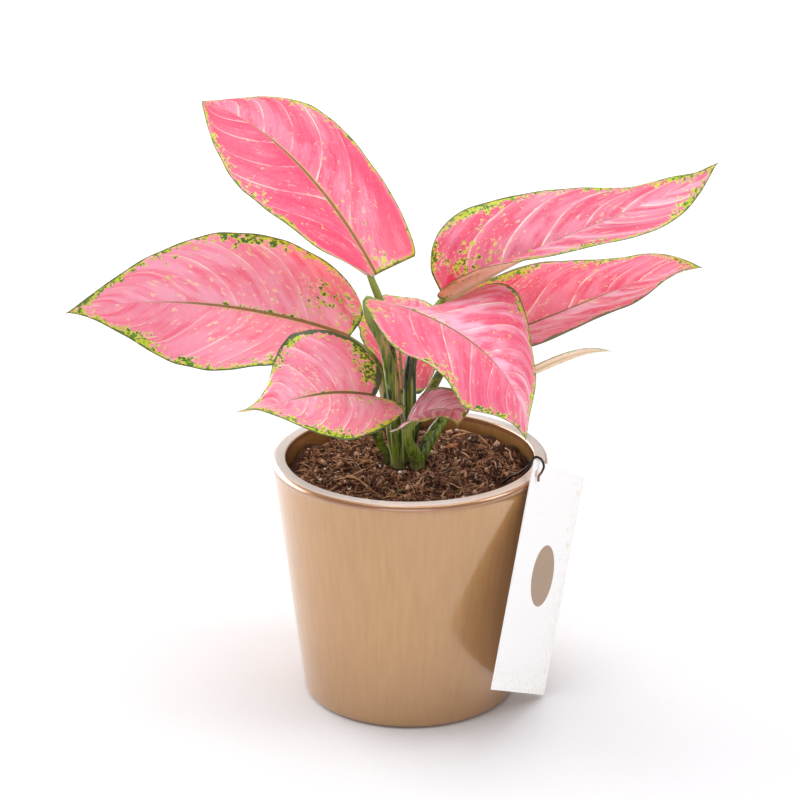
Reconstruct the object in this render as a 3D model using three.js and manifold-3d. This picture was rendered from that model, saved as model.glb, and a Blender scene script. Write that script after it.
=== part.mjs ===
// Potted Chinese evergreen with a hanging tag card, in millimetres, +Z up.
// The origin is the middle of the pot's underside, and the front is at -Y.

import * as THREE from 'three';
import Module from 'manifold-3d';
import { mergeVertices } from 'three/addons/utils/BufferGeometryUtils.js';

const wasm = await Module();
wasm.setup();

const { Vector2, Vector3 } = THREE;
const UP = new Vector3(0, 0, 1);
const GAP = 0.3;

// Driving dimensions of the pot and the soil in it
const POT = {
  height: 127.5, rimRadius: 70, baseRadius: 55, sides: 64,
  lipWidth: 7.5, lipRound: 1.4, bandHeight: 3.2, bandStep: 0.5,
  footRound: 3.5, floor: 7, innerFloorRadius: 48,
};
const SOIL = {
  level: 120.5, sides: 64, rings: 7, holeClear: 1, holeSides: 20, holeTop: 132, wallDip: 1.5,
  mound: { height: 1.6, spread: 22 },
  lumps: { height: 1.1, alongX: 38, alongY: 46 },
  furrows: { height: 0.8, alongDiagonal: 30, across: 57 },
};

// Stems: the foot stands below the soil's surface, and the radius shrinks towards the leaf
const STEM = {
  footZ: 108, straightTo: 124, footRadius: 4.2, neckRadius: 3.3, endRadius: 2, clear: 0.5, sides: 9, steps: 9,
};
const LONE_FOOT_RADIUS = 3;

// Leaf blades: thin skins that thicken to a keel under the midrib
const BLADE = {
  thickness: 0.9, keel: 3.6, keelPower: 1.5, minHalfWidth: 1, rows: 15, ripples: 2, leftLead: 75,
  widest: 0.42, tipPower: 1.25, basePower: 0.6, lobeReach: 0.4, normalStep: 0.01,
};
const COLUMNS = [-1, -0.68, -0.36, -0.1, 0, 0.1, 0.36, 0.68, 1];

// Each leaf: midrib is a cubic curve's four points from base to tip. roll, liftLeft and liftRight are
// angles in degrees at base, middle and tip. Roll lowers the right side, lift raises each half. base is
// each half's width at the stalk as a share of its widest, and lobe is how far it reaches back there.
const LEAVES = {
  top: {
    midrib: [[-17, 11, 219], [-49, 33, 276], [-85, 34, 298], [-106, 64, 295]],
    half: 40, base: [0.3, 0.66], lobe: [1, 0], curl: -15, wave: 0, phase: 0,
    roll: [15, 0, 25], liftLeft: [10, -10, 15], liftRight: [40, 25, 40],
  },
  left: {
    midrib: [[-30, 4, 189], [-68, 1, 205], [-126, -2, 216], [-170, -8, 205]],
    half: 38, base: [0.55, 0.55], lobe: [5, 5], curl: 5, wave: 0, phase: 0,
    roll: [-40, -60, -90], liftLeft: [30, 15, -20], liftRight: [-5, 25, 15],
  },
  low: {
    midrib: [[-17, -23, 167], [-42, -46, 181], [-54, -57, 177], [-84, -54, 170]],
    half: 33, base: [0.55, 0.55], lobe: [8, 8], curl: -15, wave: 0, phase: 0,
    roll: [-45, -45, 5], liftLeft: [50, 30, 40], liftRight: [20, 10, 0],
  },
  front: {
    midrib: [[-19, -10, 214], [23, -39, 213], [56, -46, 190], [56, -50, 154]],
    half: 43, base: [0.33, 0.12], lobe: [0, -2], curl: -10, wave: 5, phase: 120,
    roll: [-4, 4, -10], liftLeft: [-40, 20, -30], liftRight: [10, 0, -30],
  },
  right_high: {
    midrib: [[17, 19, 204], [59, 25, 231], [116, 7, 255], [151, 18, 270]],
    half: 40, base: [0.5, 0.5], lobe: [-2, 2], curl: -10, wave: 2, phase: 30,
    roll: [60, 25, 35], liftLeft: [50, -5, 0], liftRight: [95, 30, -5],
  },
  right_middle: {
    midrib: [[23, 21, 175], [80, 31, 192], [123, 37, 215], [148, 30, 217]],
    half: 36, base: [0.55, 0.55], lobe: [6, 6], curl: 5, wave: 2, phase: 150,
    roll: [35, 20, 15], liftLeft: [35, -5, 10], liftRight: [40, 20, 25],
  },
  back: {
    midrib: [[-3, 14, 156], [-7, 46, 171], [-3, 75, 184], [-13, 105, 179]],
    half: 22, base: [0.55, 0.55], lobe: [3, 3], curl: 5, wave: 0, phase: 0,
    roll: [15, -5, 10], liftLeft: [35, 15, 10], liftRight: [20, 20, 0],
  },
  right_low: {
    midrib: [[27, 14, 154], [58, 25, 159], [81, 37, 174], [105, 48, 166]],
    half: 24, base: [0.55, 0.55], lobe: [6, 6], curl: -10, wave: 0, phase: 0,
    roll: [-20, -30, -25], liftLeft: [5, 0, 0], liftRight: [5, 5, 0],
  },
  small: {
    midrib: [[-2, -12, 148], [4, -20, 159], [26, -23, 167], [23, -42, 158]],
    half: 18, base: [0.55, 0.55], lobe: [4, 4], curl: -10, wave: 1, phase: 180,
    roll: [10, 5, 5], liftLeft: [30, 20, 5], liftRight: [10, 5, -5],
  },
};

// Shoots: leaf stalks that share one foot, each with its way from the foot to just below its leaf
const SHOOTS = {
  left: {
    foot: [-6, -3], radius: STEM.footRadius,
    stalks: {
      top: [[-7, -2, 140], [-8, 3, 175], [-12, 10, 205]],
      left: [[-8, -2, 135], [-12, 0, 158], [-18, 3, 176]],
      front: [[-7, -5, 150], [-13, -8.5, 188], [-20, -9, 203]],
    },
  },
  middle: {
    foot: [-1, 5], radius: STEM.footRadius,
    stalks: {
      right_high: [[0, 5, 150], [1, 6, 176], [8, 13, 192]],
      right_middle: [[2, 5, 140], [10, 8, 158]],
      back: [[-2, 7, 133], [-3, 10, 145]],
    },
  },
  right: {
    foot: [4, -3], radius: STEM.footRadius,
    stalks: {
      right_low: [[7, -1, 130], [15, 4, 142]],
      small: [[2, -7, 131], [-1, -11, 139]],
    },
  },
  lone: {
    foot: [-11, 6], radius: LONE_FOOT_RADIUS,
    stalks: { low: [[-14, 2, 131], [-18, -8, 147], [-19, -17, 160]] },
  },
};

// Tag card: hangs outside the rim from a wire through the hole in its upper near corner
const CARD = {
  width: 78, height: 114.5, thickness: 0.6, turn: -25, tilt: 26.3, clear: 0.7, side: -7, top: 138.5,
  holeInset: 6, holeRadius: 2.2, holeSides: 16,
};
const WIRE = { radius: 0.9, sides: 8, stepsPerPoint: 3 };
const HOOK_ROUTE = [
  [45, -13, 115], [51, -20, 124.6], [56.5, -26.5, 129.6], [60.5, -30, 134.5], [64, -31.5, 138],
  [67.5, -32.5, 136], [68, -33.6, 132.2], [65.5, -34.6, 130.3], [61, -33.2, 129.9],
];

const COLOURS = {
  pot: 0x9c7a52, soil: 0x3b241a, stem: 0x4f6b35, blade: 0xe8718a, card: 0xfaf8f5, wire: 0x202020,
};

const radians = THREE.MathUtils.degToRad;
const point = ([x, y, z]) => new Vector3(x, y, z);

function solidFrom(geometry) {
  const bare = geometry.clone();
  bare.deleteAttribute('normal');
  bare.deleteAttribute('uv');
  const merged = mergeVertices(bare, 1e-4);
  const vertProperties = new Float32Array(merged.attributes.position.array);
  const triVerts = new Uint32Array(merged.index.array);
  return new wasm.Manifold(new wasm.Mesh({ numProp: 3, vertProperties, triVerts }));
}

function geometryFrom(solid) {
  const { vertProperties, triVerts } = solid.getMesh();
  return indexed(vertProperties, triVerts);
}

function indexed(positions, indices) {
  const geometry = new THREE.BufferGeometry();
  geometry.setAttribute('position', new THREE.Float32BufferAttribute(positions, 3));
  geometry.setIndex(Array.from(indices));
  geometry.computeVertexNormals();
  return geometry;
}

function named(name, geometry, colour, roughness, metalness = 0) {
  const material = new THREE.MeshStandardMaterial({ color: colour, roughness, metalness });
  const mesh = new THREE.Mesh(geometry, material);
  mesh.name = name;
  return mesh;
}

// Turned pot: an outline from the middle of the underside, up the wall, over the lip to the inner floor
function corner(cx, cy, radius, from, to, count = 4) {
  return Array.from({ length: count + 1 }, (_, i) => {
    const angle = radians(from + ((to - from) * i) / count);
    return new Vector2(cx + radius * Math.cos(angle), cy + radius * Math.sin(angle));
  });
}

function potGeometry() {
  const innerRim = POT.rimRadius - POT.lipWidth;
  const bandFoot = POT.height - POT.bandHeight;
  const outline = [
    new Vector2(0, 0),
    ...corner(POT.baseRadius - POT.footRound, POT.footRound, POT.footRound, -90, -5),
    new Vector2(POT.rimRadius - POT.bandStep, bandFoot - POT.bandStep),
    new Vector2(POT.rimRadius, bandFoot),
    ...corner(POT.rimRadius - POT.lipRound, POT.height - POT.lipRound, POT.lipRound, 0, 90),
    ...corner(innerRim + POT.lipRound, POT.height - POT.lipRound, POT.lipRound, 90, 180),
    new Vector2(POT.innerFloorRadius, POT.floor),
    new Vector2(0, POT.floor),
  ];
  const geometry = new THREE.LatheGeometry(outline, POT.sides);
  geometry.rotateX(Math.PI / 2);
  return geometry;
}

// Soil: a plug that fills the pot, with an uneven top and plain holes for what stands in it
function innerRadius(z) {
  const share = (z - POT.floor) / (POT.height - POT.lipRound - POT.floor);
  return THREE.MathUtils.lerp(POT.innerFloorRadius, POT.rimRadius - POT.lipWidth, share);
}

function soilTop(x, y) {
  const { mound, lumps, furrows } = SOIL;
  const turn = 2 * Math.PI;
  const radius = Math.hypot(x, y);
  const lump = Math.sin((turn * x) / lumps.alongX + 1.3) * Math.cos((turn * y) / lumps.alongY - 0.6);
  const furrow = Math.sin((turn * (x + y)) / furrows.alongDiagonal + 2.1)
    * Math.sin((turn * (x - 2 * y)) / furrows.across);
  const rise = mound.height * Math.exp(-((radius / mound.spread) ** 2));
  const dip = SOIL.wallDip * (radius / innerRadius(SOIL.level)) ** 4;
  return SOIL.level + lumps.height * lump + furrows.height * furrow + rise - dip;
}

function soilGeometry() {
  const positions = [];
  const indices = [];
  const { sides, rings, level } = SOIL;
  const bottom = POT.floor + GAP;
  const rim = innerRadius(level) - 2 * GAP;
  positions.push(0, 0, soilTop(0, 0));
  for (let ring = 1; ring <= rings; ring += 1) {
    for (let side = 0; side < sides; side += 1) {
      const angle = (2 * Math.PI * side) / sides;
      const x = (rim * ring * Math.sin(angle)) / rings;
      const y = (rim * ring * Math.cos(angle)) / rings;
      positions.push(x, y, soilTop(x, y));
    }
  }
  for (let side = 0; side < sides; side += 1) {
    const angle = (2 * Math.PI * side) / sides;
    const foot = innerRadius(bottom) - 2 * GAP;
    positions.push(foot * Math.sin(angle), foot * Math.cos(angle), bottom);
  }
  positions.push(0, 0, bottom);
  const at = (ring, side) => 1 + (ring - 1) * sides + (side % sides);
  for (let side = 0; side < sides; side += 1) {
    indices.push(0, at(1, side + 1), at(1, side));
    for (let ring = 1; ring <= rings; ring += 1) {
      indices.push(at(ring, side), at(ring, side + 1), at(ring + 1, side));
      indices.push(at(ring, side + 1), at(ring + 1, side + 1), at(ring + 1, side));
    }
    indices.push(at(rings + 1, side), at(rings + 1, side + 1), at(rings + 2, 0));
  }
  return indexed(positions, indices);
}

function postHole(x, y, radius, footZ) {
  const depth = SOIL.holeTop - footZ;
  const hole = new THREE.CylinderGeometry(radius, radius, depth, SOIL.holeSides);
  hole.rotateX(Math.PI / 2);
  hole.translate(x, y, footZ + depth / 2);
  return solidFrom(hole);
}

function soilWithHoles(wireSolid) {
  let solid = solidFrom(soilGeometry());
  for (const { foot: [x, y], radius } of Object.values(SHOOTS)) {
    solid = solid.subtract(postHole(x, y, radius + SOIL.holeClear, STEM.footZ - GAP));
  }
  return geometryFrom(solid.subtract(wireSolid));
}

// Leaf blades: a frame along the midrib, then both halves laid out at their own lift and curl
function alongThree([start, middle, end], s) {
  return start * (1 - s) * (1 - 2 * s) + middle * 4 * s * (1 - s) + end * s * (2 * s - 1);
}

function outlineShare(s, base) {
  if (s < BLADE.widest) {
    return base + (1 - base) * Math.sin((Math.PI / 2) * (s / BLADE.widest)) ** BLADE.basePower;
  }
  const past = (s - BLADE.widest) / (1 - BLADE.widest);
  return Math.max(Math.cos((Math.PI / 2) * past), 0) ** BLADE.tipPower;
}

function leafFrame(leaf, s) {
  const curve = new THREE.CubicBezierCurve3(...leaf.midrib.map(point));
  const middle = curve.getPoint(s);
  const along = curve.getTangent(s);
  const level = along.clone().cross(UP).normalize();
  const upright = level.clone().cross(along);
  const roll = radians(alongThree(leaf.roll, s));
  const side = level.clone().multiplyScalar(Math.cos(roll)).addScaledVector(upright, -Math.sin(roll));
  const normal = upright.clone().multiplyScalar(Math.cos(roll)).addScaledVector(level, Math.sin(roll));
  return { middle, along, side, normal };
}

function bladePoint(leaf, s, v) {
  const { middle, along, side, normal } = leafFrame(leaf, s);
  const across = Math.abs(v);
  const half = v < 0 ? 0 : 1;
  const lift = radians(alongThree(half === 0 ? leaf.liftLeft : leaf.liftRight, s));
  const curl = radians(leaf.curl);
  const bend = (curl * across) / 2;
  const angle = lift + bend;
  const chord = Math.abs(bend) < 1e-6 ? 1 : Math.sin(bend) / bend;
  const width = Math.max(leaf.half * outlineShare(s, leaf.base[half]), BLADE.minHalfWidth);
  const reach = width * across * chord;
  const fade = Math.max(1 - s / BLADE.lobeReach, 0) ** 2;
  const back = leaf.lobe[half] * Math.sin((Math.PI / 2) * across) * fade;
  const phase = radians(half === 0 ? leaf.phase + BLADE.leftLead : leaf.phase);
  const ripple = leaf.wave * across * across * Math.sin(Math.PI * s)
    * Math.sin(2 * Math.PI * BLADE.ripples * s + phase);
  return middle
    .addScaledVector(side, Math.sign(v) * Math.cos(angle) * reach)
    .addScaledVector(normal, Math.sin(angle) * reach + ripple)
    .addScaledVector(along, -back);
}

function keelDepth(s) {
  return BLADE.thickness + BLADE.keel * (1 - s) ** BLADE.keelPower;
}

function bladeNormal(leaf, s, v) {
  const step = BLADE.normalStep;
  const ahead = bladePoint(leaf, Math.min(s + step, 1), v);
  const behind = bladePoint(leaf, Math.max(s - step, 0), v);
  const right = bladePoint(leaf, s, Math.min(v + step, 1));
  const left = bladePoint(leaf, s, Math.max(v - step, -1));
  return right.sub(left).cross(ahead.sub(behind)).normalize();
}

function bladeGeometry(leaf) {
  const positions = [];
  const width = COLUMNS.length;
  for (let layer = 0; layer < 2; layer += 1) {
    for (let row = 0; row <= BLADE.rows; row += 1) {
      const s = row / BLADE.rows;
      for (const v of COLUMNS) {
        const depth = v === 0 ? keelDepth(s) : BLADE.thickness;
        const place = bladePoint(leaf, s, v).addScaledVector(bladeNormal(leaf, s, v), -layer * depth);
        positions.push(place.x, place.y, place.z);
      }
    }
  }
  const at = (layer, row, column) => (layer * (BLADE.rows + 1) + row) * width + column;
  const indices = [];
  const quad = (a, b, c, d) => indices.push(a, b, c, a, c, d);
  for (let row = 0; row < BLADE.rows; row += 1) {
    for (let column = 0; column < width - 1; column += 1) {
      const near = at(0, row, column);
      const far = at(0, row + 1, column);
      const layer = at(1, 0, 0);
      quad(near, near + 1, far + 1, far);
      indices.push(near + layer, far + layer + 1, near + layer + 1);
      indices.push(near + layer, far + layer, far + layer + 1);
    }
    quad(at(0, row, 0), at(0, row + 1, 0), at(1, row + 1, 0), at(1, row, 0));
    const last = width - 1;
    quad(at(0, row + 1, last), at(0, row, last), at(1, row, last), at(1, row + 1, last));
  }
  for (let column = 0; column < width - 1; column += 1) {
    quad(at(0, 0, column + 1), at(0, 0, column), at(1, 0, column), at(1, 0, column + 1));
    const top = BLADE.rows;
    quad(at(0, top, column), at(0, top, column + 1), at(1, top, column + 1), at(1, top, column));
  }
  return indexed(positions, indices);
}

// Round tubes with a radius at each step, closed at both ends
function tubeGeometry(places, radii, sides) {
  const positions = [];
  const indices = [];
  const directions = places.map((_, i) => {
    const before = places[Math.max(i - 1, 0)];
    const after = places[Math.min(i + 1, places.length - 1)];
    return after.clone().sub(before).normalize();
  });
  let across = new Vector3(1, 0, 0);
  places.forEach((place, step) => {
    across = across.clone().addScaledVector(directions[step], -across.dot(directions[step])).normalize();
    const other = directions[step].clone().cross(across);
    for (let side = 0; side < sides; side += 1) {
      const angle = (2 * Math.PI * side) / sides;
      const spot = place.clone()
        .addScaledVector(across, radii[step] * Math.cos(angle))
        .addScaledVector(other, radii[step] * Math.sin(angle));
      positions.push(spot.x, spot.y, spot.z);
    }
  });
  const last = places.length - 1;
  positions.push(...places[0].toArray(), ...places[last].toArray());
  const at = (step, side) => step * sides + (side % sides);
  const startCap = places.length * sides;
  for (let side = 0; side < sides; side += 1) {
    for (let step = 0; step < last; step += 1) {
      indices.push(at(step, side), at(step, side + 1), at(step + 1, side + 1));
      indices.push(at(step, side), at(step + 1, side + 1), at(step + 1, side));
    }
    indices.push(startCap, at(0, side + 1), at(0, side));
    indices.push(startCap + 1, at(last, side), at(last, side + 1));
  }
  return indexed(positions, indices);
}

// A stalk ends against the keel at the blade's base, clear of the lobes beside it
function stalkEnd(leaf, lastWaypoint) {
  const { middle, along, normal } = leafFrame(leaf, 0);
  const arrival = middle.clone().sub(lastWaypoint).normalize();
  const alignment = Math.min(Math.abs(arrival.dot(along)), 1);
  const slant = Math.sqrt(1 - alignment * alignment);
  return middle
    .addScaledVector(normal, -(BLADE.thickness + STEM.clear + STEM.endRadius * alignment))
    .addScaledVector(along, -(STEM.clear + STEM.endRadius * slant));
}

function stalkRadius(share, footRadius) {
  if (share < 0.5) return THREE.MathUtils.lerp(footRadius, STEM.neckRadius, share * 2);
  return THREE.MathUtils.lerp(STEM.neckRadius, STEM.endRadius, share * 2 - 1);
}

function stalkGeometry(shoot, leafName, waypoints) {
  const [x, y] = shoot.foot;
  const way = waypoints.map(point);
  const foot = [new Vector3(x, y, STEM.footZ), new Vector3(x, y, STEM.straightTo)];
  const end = stalkEnd(LEAVES[leafName], way[way.length - 1]);
  const curve = new THREE.CatmullRomCurve3([...foot, ...way, end], false, 'centripetal');
  const places = curve.getSpacedPoints(STEM.steps);
  const radii = places.map((_, step) => stalkRadius(step / STEM.steps, shoot.radius));
  return tubeGeometry(places, radii, STEM.sides);
}

function shootGeometry(shoot) {
  const stalks = Object.entries(shoot.stalks);
  const solids = stalks.map(([leafName, way]) => solidFrom(stalkGeometry(shoot, leafName, way)));
  return geometryFrom(solids.reduce((all, next) => all.add(next)));
}

// Tag card and its wire hook
function cardPlace() {
  const turn = radians(CARD.turn);
  const tilt = radians(CARD.tilt);
  const outward = new Vector3(Math.cos(turn), Math.sin(turn), 0);
  const level = new Vector3(-Math.sin(turn), Math.cos(turn), 0);
  const across = level.clone().multiplyScalar(Math.cos(tilt)).addScaledVector(UP, -Math.sin(tilt));
  const down = level.clone().multiplyScalar(-Math.sin(tilt)).addScaledVector(UP, -Math.cos(tilt));
  const origin = outward.clone().multiplyScalar(POT.rimRadius + CARD.clear)
    .addScaledVector(level, CARD.side).addScaledVector(UP, CARD.top);
  return new THREE.Matrix4().makeBasis(across, down, outward.negate()).setPosition(origin);
}

function cardGeometry() {
  const sheet = new THREE.Shape();
  sheet.moveTo(0, 0);
  sheet.lineTo(CARD.width, 0);
  sheet.lineTo(CARD.width, CARD.height);
  sheet.lineTo(0, CARD.height);
  const hole = new THREE.Path();
  hole.absarc(CARD.holeInset, CARD.holeInset, CARD.holeRadius, 0, 2 * Math.PI, true);
  sheet.holes.push(hole);
  const depth = CARD.thickness;
  const options = { depth, bevelEnabled: false, curveSegments: CARD.holeSides };
  const geometry = new THREE.ExtrudeGeometry(sheet, options);
  geometry.translate(0, 0, -depth / 2);
  return geometry;
}

function wireGeometry(extra) {
  const curve = new THREE.CatmullRomCurve3(HOOK_ROUTE.map(point), false, 'centripetal');
  const places = curve.getSpacedPoints(HOOK_ROUTE.length * WIRE.stepsPerPoint);
  places[0].z -= extra;
  return tubeGeometry(places, places.map(() => WIRE.radius + extra), WIRE.sides);
}

const plant = new THREE.Group();
plant.add(named('pot', potGeometry(), COLOURS.pot, 0.35, 0.4));
plant.add(named('potting_soil', soilWithHoles(solidFrom(wireGeometry(2 * GAP))), COLOURS.soil, 1));
for (const [name, shoot] of Object.entries(SHOOTS)) {
  plant.add(named(`stems_${name}`, shootGeometry(shoot), COLOURS.stem, 0.5));
}
for (const [name, leaf] of Object.entries(LEAVES)) {
  plant.add(named(`leaf_${name}`, bladeGeometry(leaf), COLOURS.blade, 0.4));
}
const card = named('tag_card', cardGeometry(), COLOURS.card, 0.8);
card.applyMatrix4(cardPlace());
plant.add(card);
plant.add(named('tag_hook', wireGeometry(0), COLOURS.wire, 0.4, 0.8));

export default plant;
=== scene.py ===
"""Looks of a potted Chinese evergreen with pink leaves, in metres, in the same frame as its CAD model.

Lengths in the tables below are in millimetres, as in the part's source. MM turns them into metres.
"""

import math
from itertools import combinations
from types import SimpleNamespace as Table

import bpy
import numpy as np
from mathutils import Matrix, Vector, noise


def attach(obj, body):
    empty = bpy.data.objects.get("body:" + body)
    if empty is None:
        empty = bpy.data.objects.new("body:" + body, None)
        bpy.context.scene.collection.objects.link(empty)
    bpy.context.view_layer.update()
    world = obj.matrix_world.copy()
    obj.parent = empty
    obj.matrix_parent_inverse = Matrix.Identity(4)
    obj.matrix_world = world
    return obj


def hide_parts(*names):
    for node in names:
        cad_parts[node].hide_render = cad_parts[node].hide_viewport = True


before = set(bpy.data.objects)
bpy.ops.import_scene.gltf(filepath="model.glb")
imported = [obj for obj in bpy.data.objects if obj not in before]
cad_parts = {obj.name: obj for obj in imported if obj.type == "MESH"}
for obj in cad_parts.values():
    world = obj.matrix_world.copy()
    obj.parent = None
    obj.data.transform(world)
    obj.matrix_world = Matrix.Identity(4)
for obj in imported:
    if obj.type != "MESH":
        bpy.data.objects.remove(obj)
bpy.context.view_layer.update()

MM = 0.001
UP = np.array([0.0, 0.0, 1.0])

POT = Table(
    height=127.5, rim_radius=70, base_radius=55, sides=192, wall_rows=40,
    lip_width=7.2, lip_round=2.7, lip_inner_round=1.2, band_height=3, band_step=0.5,
    foot_round=3.5, floor=7, inner_floor_radius=48, inner_rim_radius=62.5,
)
SOIL = Table(
    level=120.5, wall_dip=1.5, bottom=112, wall_gap=0.6, rings=70, sides=220,
    clods=1.6, hollow=[43, -21], hollow_depth=2.6, wire_foot=[48, -17],
    crumb_radius=59.5, fibres=900,
)
STEM = Table(
    foot_z=108, straight_to=124, neck_radius=3.3, end_radius=2, clear=0.5,
    rows=64, sides=28, into_keel=[[4, 2.4], [11, 1.9]],
)
BLADE = Table(
    thickness=0.9, keel=3.6, keel_power=1.5, keel_share=0.1, min_half=0.25, ripples=2,
    left_lead=75, widest=0.42, tip_power=1.25, base_power=0.6, tip_start=0.88,
    lobe_reach=0.4, normal_step=0.004, rows=120, columns=30, column_power=1.25, veins=7,
    margin_waves=0.28, relief=0.8, corner=0.055, corner_fade=0.16, corner_trim=0.12,
    bulge_at=0.13, bulge_reach=0.075, edge_skin=0.22, skin=0.5,
)

# What a leaf has where its own table says nothing else
PLAIN_LEAF = {
    "base": [0.55, 0.55], "wave": 0, "phase": 0, "quilt": 0.5, "dark_edge": [0.3, 0.3], "round": [1, 1],
    "tip": [0, 0, 0], "bulge": 0,
}

# Each leaf repeats its values in the part's source. The lines from vivid on are its looks: vivid runs from
# pale to deep pink, green is how much it is flecked, rib_tint is how brown its midrib is, quilt is how far
# it swells between its veins, and seed sets its own pattern. For each half, dark_edge is how broad its dark
# margin is, pale is how much whitish sheen is painted on it, and round is how round its base corner is. tip
# moves the very tip, and bulge widens the left half near its base.
LEAVES = {
    "top": {
        "midrib": [[-17, 11, 219], [-49, 33, 276], [-85, 34, 298], [-106, 64, 295]],
        "half": 40, "base": [0.3, 0.66], "lobe": [1, 0], "curl": -15,
        "roll": [15, 0, 25], "lift_left": [10, -10, 15], "lift_right": [40, 25, 40],
        "vivid": 0.85, "green": 0.35, "rib_tint": 1, "quilt": 0.35, "seed": 1,
        "dark_edge": [0, 0], "pale": [0, 0.35], "round": [0.6, 0], "bulge": 3.6,
    },
    "left": {
        "midrib": [[-30, 4, 189], [-68, 1, 205], [-126, -2, 216], [-170, -8, 205]],
        "half": 38, "lobe": [5, 5], "curl": 5,
        "roll": [-40, -60, -90], "lift_left": [30, 15, -20], "lift_right": [-5, 25, 15],
        "vivid": -0.35, "green": 0.95, "rib_tint": 1, "seed": 2,
        "dark_edge": [0.2, 0.1], "pale": [0.2, 0.6], "round": [1, 0.35],
    },
    "low": {
        "midrib": [[-17, -23, 167], [-42, -46, 181], [-54, -57, 177], [-84, -54, 170]],
        "half": 33, "lobe": [8, 8], "curl": -15,
        "roll": [-45, -45, 5], "lift_left": [50, 30, 40], "lift_right": [20, 10, 0],
        "vivid": -0.3, "green": 0.9, "rib_tint": 0.6, "quilt": 0.6, "seed": 3,
        "dark_edge": [0.3, 0.9], "pale": [0.5, 0.5],
    },
    "front": {
        "midrib": [[-19, -10, 214], [23, -39, 213], [56, -46, 190], [56, -50, 154]],
        "half": 43, "base": [0.33, 0.12], "lobe": [0, -2], "curl": -10, "wave": 5, "phase": 120,
        "roll": [-4, 4, -10], "lift_left": [-40, 20, -30], "lift_right": [10, 0, -30],
        "vivid": 0.6, "green": 0.45, "rib_tint": 0.35, "quilt": 0.35, "seed": 4,
        "dark_edge": [0.3, 0.1], "pale": [0.9, 0.25], "round": [0, 0],
    },
    "right_high": {
        "midrib": [[17, 19, 204], [59, 25, 231], [116, 7, 255], [151, 18, 270]],
        "half": 40, "base": [0.5, 0.5], "lobe": [-2, 2], "curl": -10, "wave": 2, "phase": 30,
        "roll": [60, 25, 35], "lift_left": [50, -5, 0], "lift_right": [95, 30, -5],
        "vivid": 1.35, "green": 0.7, "rib_tint": 0.3, "quilt": 1, "seed": 5,
        "dark_edge": [0.2, 0.3], "pale": [0.4, 0.7], "round": [0.25, 0.2], "tip": [1, 0, 4.5],
    },
    "right_middle": {
        "midrib": [[23, 21, 175], [80, 31, 192], [123, 37, 215], [148, 30, 217]],
        "half": 36, "lobe": [6, 6], "curl": 5, "wave": 2, "phase": 150,
        "roll": [35, 20, 15], "lift_left": [35, -5, 10], "lift_right": [40, 20, 25],
        "vivid": 1.1, "green": 0.6, "rib_tint": 0.4, "quilt": 0.9, "seed": 6,
        "dark_edge": [0.3, 1.7], "pale": [0.4, 1.25],
    },
    "back": {
        "midrib": [[-3, 14, 156], [-7, 46, 171], [-3, 75, 184], [-13, 105, 179]],
        "half": 22, "lobe": [3, 3], "curl": 5,
        "roll": [15, -5, 10], "lift_left": [35, 15, 10], "lift_right": [20, 20, 0],
        "vivid": 0.9, "green": 0.6, "rib_tint": 0.5, "seed": 7,
        "pale": [0.2, 0.2],
    },
    "right_low": {
        "midrib": [[27, 14, 154], [58, 25, 159], [81, 37, 174], [105, 48, 166]],
        "half": 24, "lobe": [6, 6], "curl": -10,
        "roll": [-20, -30, -25], "lift_left": [5, 0, 0], "lift_right": [5, 5, 0],
        "vivid": 0.1, "green": 0.4, "rib_tint": 0.5, "seed": 8,
        "pale": [0.3, 0.3],
    },
    "small": {
        "midrib": [[-2, -12, 148], [4, -20, 159], [26, -23, 167], [23, -42, 158]],
        "half": 18, "lobe": [4, 4], "curl": -10, "wave": 1, "phase": 180,
        "roll": [10, 5, 5], "lift_left": [30, 20, 5], "lift_right": [10, 5, -5],
        "vivid": 1.7, "green": 0.25, "rib_tint": 0.3, "quilt": 0.9, "seed": 9,
        "dark_edge": [1, 0.3], "pale": [0.8, 0.5],
    },
}

SHOOTS = {
    "left": {"foot": [-6, -3], "radius": 4.2, "stalks": {
        "top": [[-7, -2, 140], [-9, 3.5, 175], [-14.5, 10, 204]],
        "left": [[-8, -2, 135], [-12, 0, 158], [-18, 3, 176]],
        "front": [[-7, -5, 150], [-13, -8.5, 188], [-20, -9, 203]],
    }},
    "middle": {"foot": [-1, 5], "radius": 4.2, "stalks": {
        "right_high": [[0, 5, 150], [1, 6, 176], [8, 13, 192]],
        "right_middle": [[2, 5, 140], [10, 8, 158]],
        "back": [[-2, 7, 133], [-3, 10, 145]],
    }},
    "right": {"foot": [4, -3], "radius": 4.2, "stalks": {
        "right_low": [[7, -1, 130], [15, 4, 142]],
        "small": [[2, -7, 131], [-1, -11, 139]],
    }},
    "lone": {"foot": [-11, 6], "radius": 3, "stalks": {
        "low": [[-14, 2, 131], [-18, -8, 147], [-19, -17, 160]],
    }},
}

# Larger bits in the soil: x, y, length, width, thickness, turn in degrees, and which material
SOIL_BITS = [
    [21.8, 20.9, 7.5, 3.4, 2, 25, 0], [-40, -26, 4.5, 1.8, 1, -35, 0], [33, 8, 4, 1.8, 1, 60, 0],
    [-24.2, -40.5, 4.2, 1.5, 0.6, 50, 1], [-28.5, -42.5, 2.6, 2, 1.2, 0, 1], [-44, 2, 3.4, 1.2, 0.6, 20, 1],
    [-4.9, -36.6, 4, 3, 1.6, 10, 2], [-12.4, -33.9, 3.4, 2.6, 1.4, 70, 2],
    [-8.5, -39, 3, 2.2, 1.2, 0, 2], [-4.9, -15.2, 2, 1.8, 1.6, 0, 3],
    [-44.9, -20.6, 2.2, 1.7, 1.7, 30, 3], [10, -30, 1.7, 1.5, 1.4, 0, 3], [25, 48.5, 2, 1.8, 1.6, 0, 3],
    [-43, -4, 2.2, 1.5, 1.4, 60, 3], [-30, -33, 1.5, 1.4, 1.3, 0, 3],
]
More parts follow.
